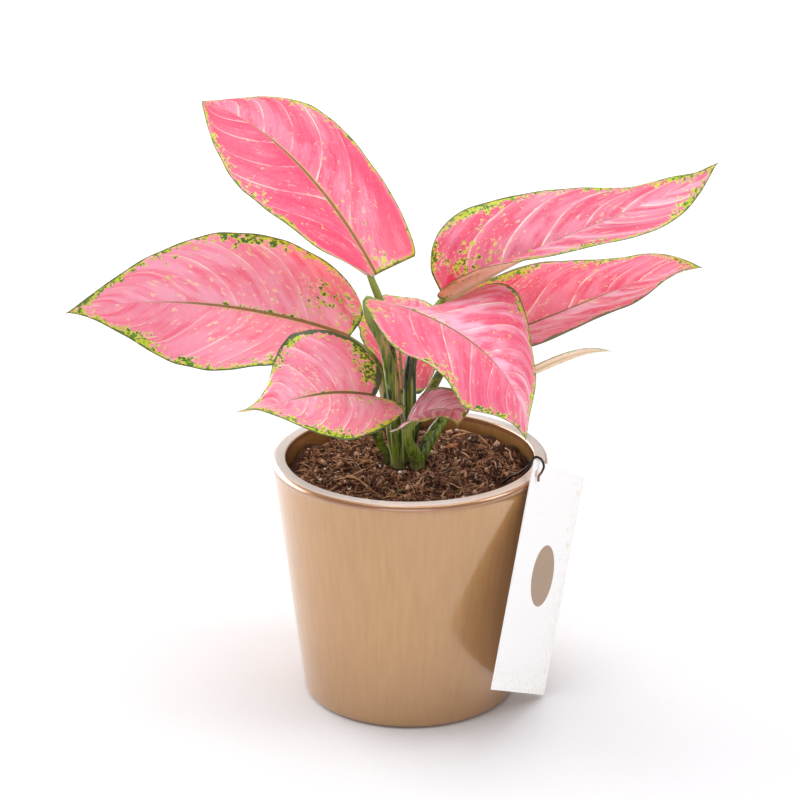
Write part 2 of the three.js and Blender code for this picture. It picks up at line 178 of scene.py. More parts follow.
# Twigs and roots: how pale, how thick, and points with their height over the soil
SOIL_TWIGS = [
    [0.4, 1, [[-32, -14, 1.6], [-26, -24, 2.2], [-18, -36, 1.7]]],
    [0.85, 0.5, [[25.5, 50, 1.4], [31.7, 45.6, 2.2], [38.4, 41.2, 1.2]]],
    [0.7, 0.8, [[22, 41, 2.2], [33, 39, 3], [41, 34, 1.8]]],
    [0.95, 0.35, [[52, 10, 1], [51, 14, 3.6], [49, 20, 5.2]]],
    [0.9, 0.4, [[-38, -22, 1.9], [-31, -17, 2.4], [-22, -9, 2]]],
    [0.9, 0.3, [[-52, -12, 1], [-50, -3, 2.2], [-54, 4, 0.8]]],
    [0.8, 0.3, [[22, -22, 1.2], [26, -30, 2], [24, -38, 0.8]]],
]

# Soil materials: a dark and a light colour, and whether each crumb has its own tone
SOIL_LOOKS = {
    "ground": ["38221a", "74503d", False], "crumb": ["805442", "c89072", True],
    "fibre": ["a87148", "f1c197", True], "chip": ["a8623c", "e6a878", False],
    "straw": ["b39a62", "ead6a0", False], "moss": ["4a5224", "a3a35c", False],
}
# Scattered crumbs: material, how many, their sizes, how far they are flattened, seed, how deep they sink
SOIL_CRUMBS = {
    "soil_crumbs": ["crumb", 5600, (0.4, 2.1), (0.35, 0.9), 5, 0.3],
    "soil_flakes": ["crumb", 1500, (1, 3.4), (0.12, 0.35), 6, -0.2],
    "soil_grains": ["grain", 75, (0.35, 1), (0.7, 1), 7, -0.6],
}

CARD = Table(turn=-25, tilt=26.3, clear=0.7, side=-7, top=138.5, badge=[42.3, 54.8, 15.8])
WIRE = Table(radius=0.6, sides=14, rows=110)
HOOK_ROUTE = [
    [45, -13, 115], [51, -20, 123.4], [54.5, -25, 127], [58.6, -29.2, 132.4], [60.4, -30.3, 136.2],
    [62.4, -31, 137.9], [64.9, -32, 136.9], [66.1, -32.8, 133.6], [65, -33.9, 131], [63.6, -34.7, 129.2],
    [63.4, -35.1, 126.6],
]

# The stage, in metres: each light's place, size and power, the camera, and the floor
LIGHTS = {
    "right_box": [(1.15, -0.15, 1), (0.6, 0.6), 5],
    "left_back_box": [(-1.2, 0.8, 0.35), (1.8, 1), 28],
    "top_box": [(0, 0.1, 2.2), (2.4, 2.4), 37],
    "front_box": [(-0.1, -1.6, 0.4), (1.2, 0.6), 4.2],
}
LIGHT_AIM = (0, 0, 0.14)
WORLD_STRENGTH = 0.38
CAMERA = Table(place=(-0.00494, -1.2211, 0.6024), aim=(-0.00494, 0, 0.15655), lens=116.35, sensor=36)
FLOOR = Table(size=9, level=-0.0002)


# Small helpers for numbers, meshes and colours

def srgb(code):
    """A linear RGBA colour from a hex code such as e8718a."""
    levels = [int(code[i:i + 2], 16) / 255 for i in (0, 2, 4)]
    linear = [c / 12.92 if c <= 0.04045 else ((c + 0.055) / 1.055) ** 2.4 for c in levels]
    return (*linear, 1.0)


def unit(vectors):
    return vectors / np.maximum(np.linalg.norm(vectors, axis=-1, keepdims=True), 1e-9)


def smooth(values, low, high):
    share = np.clip((values - low) / (high - low), 0, 1)
    return share * share * (3 - 2 * share)


def along_three(values, s):
    start, middle, end = values
    return start * (1 - s) * (1 - 2 * s) + middle * 4 * s * (1 - s) + end * s * (2 * s - 1)


def bezier(points, s):
    a, b, c, d = [np.array(p, float) for p in points]
    s = s[..., None]
    place = a * (1 - s) ** 3 + 3 * b * s * (1 - s) ** 2 + 3 * c * s * s * (1 - s) + d * s ** 3
    heading = (b - a) * (1 - s) ** 2 + 2 * (c - b) * s * (1 - s) + (d - c) * s * s
    return place, unit(heading)


def between(t, low, high, a, b):
    return (high - t) / (high - low) * a + (t - low) / (high - low) * b


def catmull(points, count):
    """Evenly spaced points on the centripetal curve through the given ones."""
    points = [np.array(p, float) for p in points]
    points = [2 * points[0] - points[1], *points, 2 * points[-1] - points[-2]]
    dense = []
    for i in range(1, len(points) - 2):
        four = points[i - 1:i + 3]
        knots = [0.0]
        for a, b in zip(four, four[1:]):
            knots.append(knots[-1] + math.sqrt(np.linalg.norm(b - a)))
        for t in np.linspace(knots[1], knots[2], 24, endpoint=False):
            near = [between(t, *knots[k:k + 2], *four[k:k + 2]) for k in range(3)]
            far = [between(t, knots[k], knots[k + 2], *near[k:k + 2]) for k in range(2)]
            dense.append(between(t, *knots[1:3], *far))
    dense.append(points[-2])
    dense = np.array(dense)
    run = np.concatenate([[0], np.cumsum(np.linalg.norm(np.diff(dense, axis=0), axis=1))])
    wanted = np.linspace(0, run[-1], count + 1)
    return np.stack([np.interp(wanted, run, dense[:, k]) for k in range(3)], axis=1)


def add_object(name, data, place=(0, 0, 0), aim=None):
    """An object of the scene, which looks at the point aim if that is given."""
    thing = bpy.data.objects.new(name, data)
    thing.location = place
    if aim:
        thing.rotation_euler = (Vector(aim) - thing.location).to_track_quat("-Z", "Y").to_euler()
    bpy.context.scene.collection.objects.link(thing)
    return thing


def make_piece(name, vertices, faces, materials, stands_for=(), attributes=None, sorts=None):
    """A mesh object from millimetre vertices, shaded smooth, that rides on the root body."""
    mesh = bpy.data.meshes.new(name)
    mesh.from_pydata((np.asarray(vertices) * MM).tolist(), [], faces)
    for material in materials:
        mesh.materials.append(material)
    if sorts is not None:
        mesh.polygons.foreach_set("material_index", np.asarray(sorts, np.int32))
    for key, values in (attributes or {}).items():
        layer = mesh.attributes.new(key, "FLOAT", "POINT")
        layer.data.foreach_set("value", np.asarray(values, np.float32))
    mesh.polygons.foreach_set("use_smooth", np.ones(len(mesh.polygons), bool))
    mesh.update()
    piece = add_object(name, mesh)
    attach(piece, "root")
    if stands_for:
        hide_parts(*stands_for)


class Heap:
    """Many small forms gathered into one piece, with their materials and the values that these read."""

    def __init__(self):
        self.vertices, self.faces, self.sorts, self.values = [], [], [], {}
        self.count = 0

    def add(self, vertices, faces, sort=0, **values):
        self.vertices.append(vertices)
        self.faces.extend([tuple(i + self.count for i in face) for face in faces])
        self.sorts.extend([sort] * len(faces))
        self.count += len(vertices)
        for key, value in values.items():
            self.values.setdefault(key, []).append(np.broadcast_to(value, len(vertices)))

    def piece(self, name, materials, slot, stands_for=()):
        values = {key: np.concatenate(parts) for key, parts in self.values.items()}
        vertices = np.concatenate(self.vertices)
        make_piece(name, vertices, self.faces, materials, stands_for, values, self.sorts)


def grid_faces(rows, columns, start=0, flip=False, wrap=False):
    """Quads of a grid of points that is stored row after row."""
    faces = []
    for row in range(rows - 1):
        for column in range(columns if wrap else columns - 1):
            a = start + row * columns + column
            b = start + row * columns + (column + 1) % columns
            c, d = b + columns, a + columns
            faces.append((a, d, c, b) if flip else (a, b, c, d))
    return faces


def ring_faces(rows, sides, flip=False):
    """Quads between rings of points, and fans to the two points after them, which close the ends."""
    faces = grid_faces(rows, sides, wrap=True, flip=flip)
    first = rows * sides
    last_ring = first - sides
    for side in range(sides):
        a, b = side, (side + 1) % sides
        if flip:
            a, b = b, a
        faces.append((first, b, a))
        faces.append((first + 1, last_ring + a, last_ring + b))
    return faces


def ring_angles(sides):
    return np.linspace(0, 2 * np.pi, sides, endpoint=False)


def tube(places, radii, sides, shape=1.0):
    """Vertices and faces of a tube with closed ends. shape changes the radius round the tube."""
    places = np.asarray(places, float)
    across = np.array([1.0, 0.0, 0.0])
    angles = ring_angles(sides)
    rings = []
    for place, heading, radius in zip(places, unit(np.gradient(places, axis=0)), radii):
        across = unit(across - heading * across.dot(heading))
        other = np.cross(heading, across)
        radius = radius * shape
        ring = np.outer(np.cos(angles) * radius, across) + np.outer(np.sin(angles) * radius, other)
        rings.append(place + ring)
    return np.concatenate([*rings, places[:1], places[-1:]]), ring_faces(len(places), sides)


# Short calls for the shader nodes used below

class Shader:
    def __init__(self, name):
        self.material = bpy.data.materials.new(name)
        self.material.use_nodes = True
        self.tree = self.material.node_tree
        self.tree.nodes.clear()
        self.surface = self.tree.nodes.new("ShaderNodeBsdfPrincipled")
        output = self.tree.nodes.new("ShaderNodeOutputMaterial")
        self.tree.links.new(self.surface.outputs["BSDF"], output.inputs["Surface"])

    def feed(self, socket, value):
        if isinstance(value, bpy.types.NodeSocket):
            self.tree.links.new(value, socket)
        else:
            socket.default_value = value

    def node(self, kind, *values, **settings):
        """A new node with these settings. Its inputs take the values in order, and None skips one."""
        node = self.tree.nodes.new("ShaderNode" + kind)
        for name, setting in settings.items():
            setattr(node, name, setting)
        for socket, value in zip(node.inputs, values):
            if value is not None:
                self.feed(socket, value)
        return node

    def attribute(self, name):
        return self.node("Attribute", attribute_name=name).outputs["Fac"]

    def place(self):
        return self.node("TexCoord").outputs["Object"]

    def parts(self, vector):
        return self.node("SeparateXYZ", vector).outputs

    def vector(self, x, y, z):
        return self.node("CombineXYZ", x, y, z).outputs[0]

    def math(self, operation, a, b=0):
        return self.node("Math", a, b, operation=operation).outputs[0]

    def span(self, value, low, high, start=0, end=1):
        """value between low and high becomes start to end, smoothly and clamped."""
        return self.node("MapRange", value, low, high, start, end, interpolation_type="SMOOTHSTEP").outputs[0]

    def fade(self, value, low, high):
        return self.span(value, low, high, 1, 0)

    def calls(self):
        """The calls that the masks need most, for short names."""
        return self.span, self.fade, self.product

    def grade(self, value, start, end):
        """value between 0 and 1 becomes start to end, smoothly."""
        return self.span(value, 0, 1, start, end)

    def scaled(self, vector, scale):
        return self.node("VectorMath", vector, scale, operation="MULTIPLY").outputs[0]

    def dot(self, a, b):
        return self.node("VectorMath", a, b, operation="DOT_PRODUCT").outputs["Value"]

    def noise(self, vector, scale, detail=2.0, roughness=0.5, stretch=None):
        vector = self.scaled(vector, stretch) if stretch else vector
        return self.node("TexNoise", vector, None, scale, detail, roughness).outputs["Fac"]

    def random(self, value):
        return self.node("TexWhiteNoise", None, value, noise_dimensions="1D").outputs["Value"]

    def product(self, *values):
        total = values[0]
        for value in values[1:]:
            total = self.math("MULTIPLY", total, value)
        return total

    def plus(self, a, b, factor=1):
        return self.math("ADD", a, b if factor == 1 else self.product(b, factor))

    def minus(self, a, b):
        return self.math("SUBTRACT", a, b)

    def most(self, a, b):
        return self.math("MAXIMUM", a, b)

    def lerp(self, share, a, b):
        return self.node("Mix", share, None, a, b).outputs[0]

    def mix(self, share, a, b):
        """A blend of two colours, which may be hex codes."""
        a, b = [srgb(colour) if isinstance(colour, str) else colour for colour in (a, b)]
        return self.node("Mix", share, *[None] * 5, a, b, data_type="RGBA").outputs[2]

    def layers(self, colour, *rows):
        """Colours laid over the first one. Each row is a mask, or the values of a span, and its colour."""
        for mask, over in rows:
            colour = self.mix(self.span(*mask) if isinstance(mask, tuple) else mask, colour, over)
        return colour

    def bump(self, height, distance, strength=1.0):
        node = self.node("Bump", strength, distance)
        self.feed(node.inputs["Height"], height)
        self.feed(self.surface.inputs["Normal"], node.outputs["Normal"])

    def finish(self, **values):
        for name, value in values.items():
            self.feed(self.surface.inputs[name.replace("_", " ")], value)
        return self.material


# Leaf blades: the part's own blade shape, with many more points, and with the quilting between its veins

def outline_share(s, base):
    first = base + (1 - base) * np.sin(np.pi / 2 * np.clip(s / BLADE.widest, 0, 1)) ** BLADE.base_power
    past = np.clip((s - BLADE.widest) / (1 - BLADE.widest), 0, 1)
    second = np.maximum(np.cos(np.pi / 2 * past), 0) ** BLADE.tip_power
    return np.where(s < BLADE.widest, first, second)


def midrib_length(leaf):
    places, _ = bezier(leaf["midrib"], np.linspace(0, 1, BLADE.rows + 1))
    return np.linalg.norm(np.diff(places, axis=0), axis=1).sum()


def blade_width(leaf, s, v):
    return np.maximum(leaf["half"] * outline_share(s, np.where(v < 0, *leaf["base"])), BLADE.min_half)


def crosswise(along, roll):
    """The directions across the leaf and out of its face, where the midrib heads along."""
    level = unit(np.cross(along, UP))
    upright = np.cross(level, along)
    roll = np.radians(roll)[..., None]
    return level * np.cos(roll) - upright * np.sin(roll), upright * np.cos(roll) + level * np.sin(roll)


def blade_point(leaf, s, v):
    middle, along = bezier(leaf["midrib"], s)
    middle = middle + (smooth(s, BLADE.tip_start, 1.0) ** 2)[..., None] * np.array(leaf["tip"], float)
    side, normal = crosswise(along, along_three(leaf["roll"], s))
    across = np.abs(v)
    lift = np.where(v < 0, along_three(leaf["lift_left"], s), along_three(leaf["lift_right"], s))
    bend = math.radians(leaf["curl"]) * across / 2
    angle = np.radians(lift) + bend
    waves = np.sin(31 * s + leaf["seed"] + 2 * np.sign(v)) + 0.6 * np.sin(57 * s + 2.0 * leaf["seed"])
    waves = BLADE.margin_waves * waves * across ** 6 * np.sin(np.pi * s)
    reach = (blade_width(leaf, s, v) + waves) * across * np.sinc(bend / np.pi)
    fade = np.maximum(1 - s / BLADE.lobe_reach, 0) ** 2
    back = np.where(v < 0, *leaf["lobe"]) * np.sin(np.pi / 2 * across) * fade
    phase = np.radians(np.where(v < 0, leaf["phase"] + BLADE.left_lead, leaf["phase"]))
    ripple = leaf["wave"] * across ** 2 * np.sin(np.pi * s)
    ripple = ripple * np.sin(2 * np.pi * BLADE.ripples * s + phase)
    corner = np.where(v < 0, *leaf["round"]) * across ** 6
    corner = corner * np.maximum(1 - s / BLADE.corner_fade, 0) ** 2
    swell = np.exp(-((s - BLADE.bulge_at) / BLADE.bulge_reach) ** 2)
    bulge = np.where(v < 0, leaf["bulge"], 0.0) * across ** 3 * swell
    reach = reach * (1 - BLADE.corner_trim * corner) + bulge
    back = back - BLADE.corner * leaf["length"] * corner
    place = middle + side * (np.sign(v) * np.cos(angle) * reach)[..., None]
    place = place + normal * (np.sin(angle) * reach + ripple)[..., None]
    return place - along * back[..., None]


def blade_normal(leaf, s, v):
    step = BLADE.normal_step
    ahead = blade_point(leaf, np.minimum(s + step, 1), v)
    behind = blade_point(leaf, np.maximum(s - step, 0), v)
    right = blade_point(leaf, s, np.minimum(v + step, 1))
    left = blade_point(leaf, s, np.maximum(v - step, -1))
    return unit(np.cross(right - left, ahead - behind))


def vein_count(leaf, s, v):
    """Rises by one from each main side vein to the next. The veins sweep forward to the margin."""
    across = np.abs(v)
    sweep = (0.2 * across + 0.14 * across ** 3) * s / (s + 0.05)
    offset = np.where(v < 0, 0.45, 0.0)
    wander = 0.12 * np.sin(5.1 * s + leaf["seed"] * 2.3) + 0.06 * np.sin(13 * s + 3 * across + leaf["seed"])
    return (s - sweep) * BLADE.veins + offset + wander


def blade_relief(leaf, s, v):
    """Height over the plain blade: quilted between veins, with a groove along the midrib."""
    across = np.abs(v)
    rib = across * blade_width(leaf, s, v)
    fade = smooth(rib, 0.5, 6.0) * (1 - smooth(across, 0.8, 1.0)) * (1 - smooth(s, 0.85, 1.0))
    quilt = 0.5 - 0.5 * np.cos(2 * np.pi * vein_count(leaf, s, v))
    groove = np.exp(-(rib / 1.1) ** 2) * (1 - smooth(s, 0.5, 0.95))
    return BLADE.relief * leaf["quilt"] * (quilt ** 0.8 - 0.5) * fade - 0.35 * groove


def build_leaf(name, leaf, materials):
    inner = np.linspace(0, 1, BLADE.columns + 1)[1:] ** BLADE.column_power
    columns = np.concatenate([-inner[::-1], [0.0], inner])
    rows = np.linspace(0, 1, BLADE.rows + 1)
    s, v = np.meshgrid(rows, columns, indexing="ij")
    across = np.abs(v)
    normal = blade_normal(leaf, s, v)
    surface = blade_point(leaf, s, v)
    relief = blade_relief(leaf, s, v)
    width = blade_width(leaf, s, v)
    skin = BLADE.edge_skin + BLADE.skin * smooth((1 - across) * width, 0.0, 3.0)
    ridge = np.maximum(1 - across / BLADE.keel_share, 0) ** 0.8
    keel = (BLADE.keel * (1 - s) ** BLADE.keel_power) * ridge
    top = surface + normal * relief[..., None]
    under = surface + normal * (relief * 0.6 - skin - keel)[..., None]
    vertices = np.concatenate([top.reshape(-1, 3), under.reshape(-1, 3)])
    shape, layer = s.shape, s.size
    faces = grid_faces(*shape) + grid_faces(*shape, start=layer, flip=True)
    points = np.arange(layer).reshape(shape)
    rim = [*points[:, 0], *points[-1, 1:], *points[-2::-1, -1], *points[0, -2::-1]]
    sorts = np.repeat([0, 1, 0], [len(faces) // 2, len(faces) // 2, len(rim) - 1])
    faces.extend([(a, b, b + layer, a + layer) for a, b in zip(rim, rim[1:])])
    run = s * leaf["length"]
    both = {
        "along": s, "side": v * width, "run": run, "edge": np.minimum((1 - across) * width, run + 0.15),
        "vein": vein_count(leaf, s, v), "seed": np.full(shape, leaf["seed"] * 17.0),
        **{key: np.where(v < 0, *leaf[key]) for key in ("pale", "dark_edge")},
        **{key: np.full(shape, leaf[key]) for key in ("vivid", "green", "rib_tint")},
    }
    values = {key: np.tile(value.ravel(), 2) for key, value in both.items()}
    make_piece(f"blade_{name}", vertices, faces, materials, [f"leaf_{name}"], values, sorts)


def leaf_values(shader):
    """The blade's own measures, and two sets of coordinates in millimetres for its patterns."""
    keys = ("along", "side", "run", "edge", "vein", "dark_edge", "pale", "vivid", "green", "rib_tint", "seed")
    at = Table(**{key: shader.attribute(key) for key in keys})
    at.rib = shader.math("ABSOLUTE", at.side)
    at.flat = shader.vector(at.side, at.run, at.seed)
    at.swept = shader.vector(at.rib, shader.product(at.vein, 19), at.seed)
    return at


def fleck_masks(shader, at):
    """Where the leaf is flecked: a cream halo, a yellow-green patch and the dark green in its middle."""
    span, fade, product = shader.calls()
    plus = shader.plus
    near_edge = fade(at.edge, 0.5, 13)
    near_base = span(at.along, 0.04, 0.32, 0.85, 0)
    near_rib = product(span(at.rib, 0.8, 3.4, 0.8, 0), fade(at.along, 0.2, 0.7))
    grains = shader.noise(at.flat, 0.36, 3, 0.62)
    streaks = shader.noise(at.swept, 0.42, 3, 0.6, (0.4, 1.1, 1))
    spots = shader.lerp(product(near_base, 0.45), grains, streaks)
    clusters = span(shader.noise(at.flat, 0.05, 2), 0.38, 0.6)
    dense = shader.most(shader.most(near_edge, near_base), near_rib)
    dense = product(dense, shader.grade(clusters, 0.55, 1), shader.grade(at.green, 0.3, 1))
    level = plus(plus(spots, dense, 0.27), clusters, 0.05)
    more = plus(product(clusters, 0.05), at.green, 0.035)
    cream = plus(shader.noise(at.swept, 0.4, 2, 0.6, (0.8, 0.9, 1)), more)
    cream = product(span(cream, 0.685, 0.72), shader.grade(at.green, 0.3, 0.9))
    halo = shader.most(span(level, 0.69, 0.735), cream)
    patch = span(level, 0.725, 0.745)
    deep = plus(shader.noise(at.flat, 0.6, 2, 0.6, (1, 1, 1.7)), dense, 0.17)
    return halo, patch, product(patch, span(deep, 0.6, 0.625))


def vein_masks(shader, at):
    """Thin main side veins of uneven strength, a painted sheen beside them, and the fine veins between."""
    span, fade, product = shader.calls()
    beside = shader.math("PINGPONG", at.vein, 0.5)
    number = shader.plus(shader.math("ROUND", at.vein), at.seed)
    patchy = span(shader.noise(at.swept, 0.1, 2), 0.34, 0.6, 0.2, 1)
    inside = product(span(at.vein, 0, 0.3), span(at.edge, 0.5, 6))
    strength = product(span(shader.random(number), 0, 0.6, 0.4, 1), patchy, inside)
    line = product(fade(beside, 0.01, 0.036), strength)
    # A painted sheen on one side of each vein, where the quilted blade would catch the light
    vein_sheen = product(fade(shader.math("FRACT", at.vein), 0, 0.3), strength)
    fine = shader.math("PINGPONG", product(at.vein, 5), 0.5)
    return line, vein_sheen, product(fade(fine, 0.03, 0.22), patchy)


def margin_masks(shader, at):
    """The ragged yellow-green band inside the margin, and the dark green line along it."""
    span, fade, product = shader.calls()
    ragged = shader.noise(at.flat, 0.33, 3, 0.65)
    slow = span(shader.noise(at.flat, 0.035, 1), 0.42, 0.6, 0.45, 1)
    width = product(span(ragged, 0.34, 0.66, 0.4, 6), slow, shader.grade(at.green, 0.5, 1))
    band = fade(shader.minus(at.edge, width), -0.25, 0.25)
    dark = product(at.dark_edge, span(ragged, 0.3, 0.6, 1, 2.6), span(at.along, 0.35, 0.75, 1, 0.35))
    line = shader.most(product(width, 0.22), dark)
    return band, fade(shader.minus(at.edge, line), 0.1, 0.55)


def midrib_masks(shader, at):
    """The midrib, and the light strip on either side of it. Both fade towards the tip."""
    span, fade, product = shader.calls()
    width = product(span(at.along, 0, 0.85, 1.25, 0.22), shader.grade(at.rib_tint, 0.45, 1))
    share = shader.math("DIVIDE", at.rib, width)
    strong = fade(at.along, 0.45, 0.8)
    rib = product(fade(share, 0.7, 1.05), shader.grade(strong, 0.12, 1))
    return rib, product(fade(share, 0.9, 2.4), strong)


def leaf_top_material():
    shader = Shader("leaf_top")
    span, product = shader.span, shader.product
    at = leaf_values(shader)
    broad = shader.noise(at.flat, 0.045, 2)
    mottle = shader.noise(at.flat, 0.4, 3, 0.6)
    streaks = shader.noise(at.swept, 0.5, 3, 0.6, (0.1, 1.5, 1))
    patches = shader.noise(at.swept, 0.16, 3, 0.55, (0.45, 0.9, 1))
    speckle = shader.noise(at.swept, 1, 3, 0.7, (0.7, 1.2, 1))
    # Whitish washes of painted sheen, stronger near the midrib; pale sets how much of it each half carries
    sheen_washes = shader.noise(at.swept, 0.22, 2, 0.6, (0.3, 0.5, 2))
    sheen_washes = shader.plus(sheen_washes, span(at.rib, 2, 16, 0.1, 0))
    line, vein_sheen, fine = vein_masks(shader, at)
    halo, patch, core = fleck_masks(shader, at)
    band, margin = margin_masks(shader, at)
    rib, flank = midrib_masks(shader, at)
    dark_green = shader.mix(at.green, "8f8d58", shader.mix(at.dark_edge, "4c6d22", "41553a"))
    brown = shader.mix(span(mottle, 0.4, 0.6), "9b6238", "8a7a3a")
    colour = shader.layers(
        "f8b4c6",
        ((at.vivid, -1, 0), "f27d9a"),
        ((at.vivid, 0, 1), "ea4473"),
        ((at.vivid, 1, 2), "a84a62"),
        ((broad, 0.35, 0.7, 0, 0.3), "f58ba2"),
        ((broad, 0.3, 0.5, 0.35, 0), "ee5673"),
        ((patches, 0.5, 0.66, 0, 0.55), "ec4068"),
        ((patches, 0.3, 0.47, 0.28, 0), "f7a2bc"),
        ((streaks, 0.48, 0.8, 0, 0.22), "f9a8b8"),
        ((streaks, 0.2, 0.45, 0.22, 0), "e0506e"),
        ((speckle, 0.52, 0.74, 0, 0.42), "fbb9c4"),
        ((speckle, 0.28, 0.46, 0.35, 0), "e04468"),
        # painted sheen
        (product(span(sheen_washes, 0.44, 0.68), at.pale, 0.75), "f6c4dc"),
        (product(fine, 0.07), "f9c4c8"),
        # painted sheen beside the veins
        (product(vein_sheen, shader.grade(at.pale, 0.15, 0.85)), "f8c4d6"),
        # a painted pale rim glow along the margin
        ((at.edge, 0.3, 3.2, 0.45, 0), "fbcdd6"),
        (line, "ffece0"),
        (product(flank, at.rib_tint, 0.5), "e9c07c"),
        (product(halo, 0.8), "fbdcb8"),
        (product(patch, 0.95), "ccd73a"),
        (core, "46741a"),
        (product(band, 0.92), "c4d234"),
        (product(band, span(mottle, 0.54, 0.58)), "5d8a1f"),
        (margin, dark_green),
        (product(rib, 0.95), shader.mix(at.rib_tint, "5f5a30", brown)),
    )
    shader.bump(shader.minus(product(streaks, 0.6), product(line, 0.6)), 0.0005, 0.5)
    return shader.finish(
        Base_Color=colour, Roughness=span(streaks, 0.3, 0.8, 0.28, 0.4), Specular_IOR_Level=0.4,
        Coat_Weight=0.08, Coat_Roughness=0.2, Subsurface_Weight=0.35,
        Subsurface_Radius=(1, 0.5, 0.4), Subsurface_Scale=0.0014,
    )


def leaf_under_material():
    shader = Shader("leaf_under")
    product = shader.product
    at = leaf_values(shader)
    broad = shader.noise(at.flat, 0.06, 2)
    streaks = shader.noise(at.swept, 0.5, 3, 0.6, (0.12, 1.6, 1))
    line, _, fine = vein_masks(shader, at)
    halo, patch, core = fleck_masks(shader, at)
    band, margin = margin_masks(shader, at)
    colour = shader.layers(
        "f0d8c2",
        (at.vivid, "ffd6c2"),
        ((broad, 0.35, 0.7, 0, 0.3), "fab8ac"),
        ((streaks, 0.45, 0.8, 0, 0.5), "f2c3ab"),
        (product(fine, 0.12), "f5d3bf"),
        (product(line, 0.5), "f5dccb"),
        (product(halo, 0.4), "efc79c"),
        (product(patch, 0.85), "c9c95a"),
        (product(core, 0.9), "557a2a"),
        (product(band, 0.75), "c2bf58"),
        (product(margin, 0.9), "5d6f34"),
        ((at.rib, 1.2, 2.6, 0.8, 0), "cfc08a"),
    )
    shader.bump(shader.plus(streaks, line), 0.0005, 0.5)
    return shader.finish(
        Base_Color=colour, Roughness=0.42, Specular_IOR_Level=0.4, Subsurface_Weight=0.7,
        Subsurface_Radius=(1, 0.7, 0.5), Subsurface_Scale=0.002,
    )


# Stems

def stalk_path(foot, leaf, way):
    """From the foot in the soil, by way of the given points, to the blade's base and on into its keel."""
    middle, along = bezier(leaf["midrib"], np.array([0.0]))
    _, normal = crosswise(along, np.array(leaf["roll"][:1]))
    middle, along, normal = middle[0], along[0], normal[0]
    arrival = unit(middle - np.array(way[-1], float))
    alignment = min(abs(arrival.dot(along)), 1.0)
    slant = math.sqrt(1 - alignment ** 2)
    end = middle - normal * (BLADE.thickness + STEM.clear + STEM.end_radius * alignment)
    end = end - along * (STEM.clear + STEM.end_radius * slant)
    into_keel = [middle - normal * depth + along * run for run, depth in STEM.into_keel]
    straight = [[*foot, STEM.foot_z], [*foot, STEM.straight_to]]
    return catmull([*straight, *way, end, *into_keel], STEM.rows)


def build_shoot(name, shoot, material):
    heap = Heap()
    sides = STEM.sides
    angles = ring_angles(sides)
    for turn, (leaf_name, way) in enumerate(shoot["stalks"].items()):
        places = stalk_path(shoot["foot"], LEAVES[leaf_name], way)
        share = np.linspace(0, 1, len(places))
        neck = min(STEM.neck_radius, shoot["radius"])
        radii = np.interp(share, [0, 0.25, 0.5, 0.87, 0.93, 1],
                          [shoot["radius"] - 0.6, shoot["radius"] - 0.5, neck, STEM.end_radius, 1.7, 0.8])
        facing = np.maximum(np.cos(angles - 1.9 * turn - 0.8), 0)
        groove_and_ribs = 1 - 0.22 * facing ** 4 - 0.02 * np.cos(9 * angles) - 0.02
        heap.add(*tube(places, radii, sides, groove_and_ribs),
                 up=np.append(np.repeat(share, sides), [0.0, 1.0]),
                 turn=np.append(np.tile(facing, len(share)), [0.0, 0.0]))
    heap.piece(f"stalks_{name}", [material], "stem", [f"stems_{name}"])


def stem_material():
    shader = Shader("stem")
    span, fade, product = shader.calls()
    place = shader.place()
    up, turn = shader.attribute("up"), shader.attribute("turn")
    height = shader.parts(place)[2]
    streaks = shader.noise(place, 1, 3, 0.65, (800, 800, 24))
    highlight_lines = shader.noise(place, 1, 2, 0.6, (1500, 1500, 20))
    patches = shader.noise(place, 1, 2, 0.5, (130, 130, 30))
    upper = product(span(height, 0.138, 0.152), fade(height, 0.19, 0.21))
    sheath = product(span(turn, 0.3, 0.5), fade(turn, 0.55, 0.75))
    colour = shader.layers(
        "2f480a",
        ((streaks, 0.38, 0.62), "7d9426"),
        (product(span(patches, 0.5, 0.57, 0, 0.85), shader.grade(upper, 0.15, 1)), "b39d66"),
        # Near-black patches: painted shade between the stems
        ((patches, 0.36, 0.47, 0.9, 0), "111b05"),
        # Pale lines along the stems: painted highlights
        ((highlight_lines, 0.56, 0.7, 0, 0.7), "c3cf86"),
        (product(sheath, fade(up, 0.3, 0.55), 0.7), "dfe0b4"),
        ((height, 0.122, 0.13, 0.45, 0), "6b6650"),
        ((up, 0.6, 0.9, 0, 0.8), "93ab4a"),
    )
    shader.bump(streaks, 0.0008, 0.6)
    return shader.finish(Base_Color=colour, Roughness=0.3, Specular_IOR_Level=0.5)


# Pot

def arc(cx, cy, radius, start, end, count=10):
    angles = np.radians(np.linspace(start, end, count + 1))
    return [(cx + radius * math.cos(a), cy + radius * math.sin(a)) for a in angles]


def pot_outline():
    """Radius and height from the underside, up the wall and over the lip to the inner floor."""
    height, rim, base = POT.height, POT.rim_radius, POT.base_radius
    inner = rim - POT.lip_width
    band = height - POT.band_height
    lip, inside, foot = POT.lip_round, POT.lip_inner_round, POT.foot_round
    wall_head = (rim - POT.band_step, band - POT.band_step)
    wall = np.linspace((base, foot), wall_head, POT.wall_rows + 1)[1:]
    return [
        (base - foot - 0.01, 0.0), *arc(base - foot, foot, foot, -90, -5), *wall,
        (rim - 0.25, band - 0.3), (rim, band), *arc(rim - lip, height - lip, lip, 0, 90),
        *arc(inner + inside, height - inside, inside, 90, 180), (inner - 0.6, 118.0),
        (POT.inner_floor_radius, POT.floor),
    ]


def build_pot(material):
    angles = ring_angles(POT.sides)
    rings = [np.stack([r * np.cos(angles), r * np.sin(angles), np.full(len(angles), z)], axis=1)
             for r, z in pot_outline()]
    vertices = np.concatenate([*rings, [[0, 0, 0], [0, 0, POT.floor]]])
    make_piece("pot_body", vertices, ring_faces(len(rings), len(angles)), [material], ["pot"])


